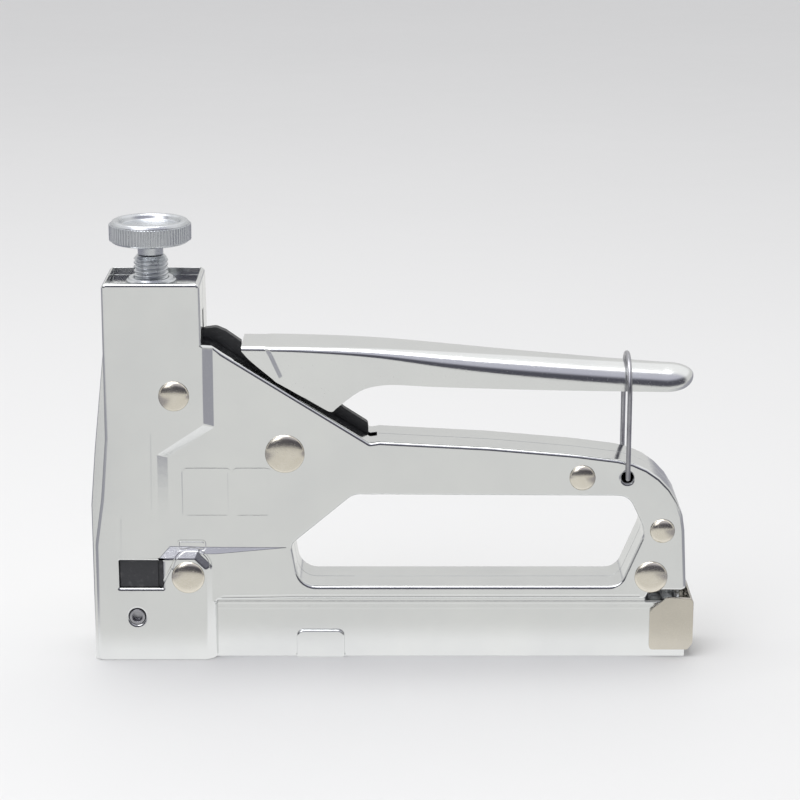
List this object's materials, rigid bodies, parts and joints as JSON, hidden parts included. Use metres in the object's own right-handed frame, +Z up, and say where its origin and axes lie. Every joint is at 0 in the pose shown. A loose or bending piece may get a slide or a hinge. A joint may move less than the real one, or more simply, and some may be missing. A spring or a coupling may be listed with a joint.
{
  "type": "staple gun",
  "caption": "Hand-squeezed tacker with pressed steel body, forked lever handle, tension screw, sprung plunger and pull-out staple pusher.",
  "frame": {"origin": "middle of the tool's box, on the plane that its nose and magazine stand on", "axes": "+X towards the rear (handle tail and pusher cap), -X towards the nose plate, +Z up to the knob, -Y the tool's left side"},
  "size_m": [0.1774, 0.0272, 0.1308],
  "materials": {
    "chrome_body": "satin chrome plate on pressed steel",
    "chrome_handle": "bright chrome plate",
    "nickel": "polished nickel plate, slightly warm",
    "zinc": "bright zinc plate",
    "spring_steel": "oiled spring steel",
    "black_steel": "matt black oxide",
    "rubber": "matt black rubber"
  },
  "bodies": {
    "frame": {"left_shell": "chrome_body", "right_shell": "chrome_body", "front_plate": "chrome_body", "top_cap": "chrome_body", "threaded_bush": "zinc", "bumper": "rubber", "pivot_sleeve": "zinc", "pivot_rivet": "nickel", "return_spring": "spring_steel", "head_rivet": "nickel", "nose_rivet": "nickel", "frame_rivets": "nickel", "frame_spacers": "zinc", "nose_pin": "spring_steel", "magazine_channel": "chrome_body", "channel_strap": "chrome_body"},
    "lever": {"handle": "chrome_handle", "handle_pin": "zinc", "lever": "black_steel"},
    "plunger": {"plunger": "zinc", "driver_blade": "spring_steel", "blade_rivets": "nickel", "power_spring": "spring_steel"},
    "tension_cup": {"spring_cup": "zinc"},
    "tension_screw": {"tension_screw": "zinc", "tension_knob": "zinc"},
    "pusher": {"pusher_rod": "zinc", "end_cap": "nickel", "pusher_spring": "spring_steel"},
    "follower": {"pusher_follower": "zinc"},
    "bail": {"bail": "spring_steel"}
  },
  "joints": [
    {"name": "handle_squeeze", "type": "hinge", "parent": "frame", "child": "lever", "pos_m": [-0.03195, 0, 0.0632], "axis": [0, 1, 0], "range_deg": [0, 11], "stiffness_Nm_per_rad": 1, "springref_deg": -28.65, "deforming": ["return_spring"]},
    {"name": "plunger_lift", "type": "slide", "parent": "frame", "child": "plunger", "axis": [0, 0, 1], "range_m": [0, 0.00539], "deforming": ["power_spring"]},
    {"name": "tension_travel", "type": "slide", "parent": "frame", "child": "tension_cup", "axis": [0, 0, 1], "range_m": [-0.005, 0.0025]},
    {"name": "knob_turn", "type": "hinge", "parent": "tension_cup", "child": "tension_screw", "pos_m": [-0.07055, 0, 0.1245], "axis": [0, 0, 1], "range_deg": [-1440, 720]},
    {"name": "pusher_pull", "type": "slide", "parent": "frame", "child": "pusher", "axis": [1, 0, 0], "range_m": [0, 0.15]},
    {"name": "follower_slide", "type": "slide", "parent": "pusher", "child": "follower", "axis": [1, 0, 0], "range_m": [0, 0.1], "stiffness_N_per_m": 12, "springref_m": -0.06, "deforming": ["pusher_spring"]},
    {"name": "bail_swing", "type": "hinge", "parent": "frame", "child": "bail", "pos_m": [0.06825, 0, 0.0559], "axis": [0, 1, 0], "range_deg": [0, 130]}
  ],
  "couplings": [
    {"joint": "handle_squeeze", "follows": "plunger_lift", "rad_per_m": 35.6},
    {"joint": "knob_turn", "follows": "tension_travel", "rad_per_m": 5026.5}
  ]
}
